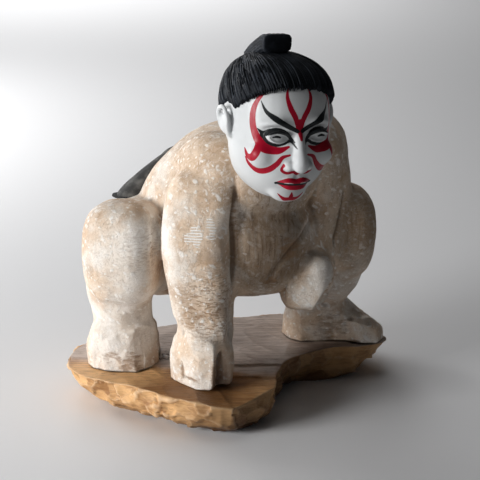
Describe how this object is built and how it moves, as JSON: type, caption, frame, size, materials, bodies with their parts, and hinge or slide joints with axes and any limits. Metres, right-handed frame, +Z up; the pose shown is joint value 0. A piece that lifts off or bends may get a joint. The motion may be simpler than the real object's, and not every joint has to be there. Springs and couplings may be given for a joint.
{
  "type": "sumo wrestler figurine",
  "caption": "Carved and painted wooden figurine of a crouching sumo wrestler with one fist planted, standing on a hewn slab plinth.",
  "frame": {"origin": "under the middle of the common box of figure and plinth, on the surface the plinth stands on", "axes": "+Z up, the wrestler faces -Y, its own right hand is on the -X side"},
  "size_m": [0.3089, 0.2594, 0.3365],
  "materials": {
    "gessoed_wood": "whitewash worn through to tan wood, matt, with tool marks",
    "plain_wood": "hewn, oiled to a low sheen",
    "white_paint": "smooth satin, with red and black stage make-up lines",
    "black_paint": "low sheen over carved strands"
  },
  "bodies": {
    "root": {"wrestler": "gessoed_wood", "plinth": "plain_wood"}
  },
  "joints": []
}
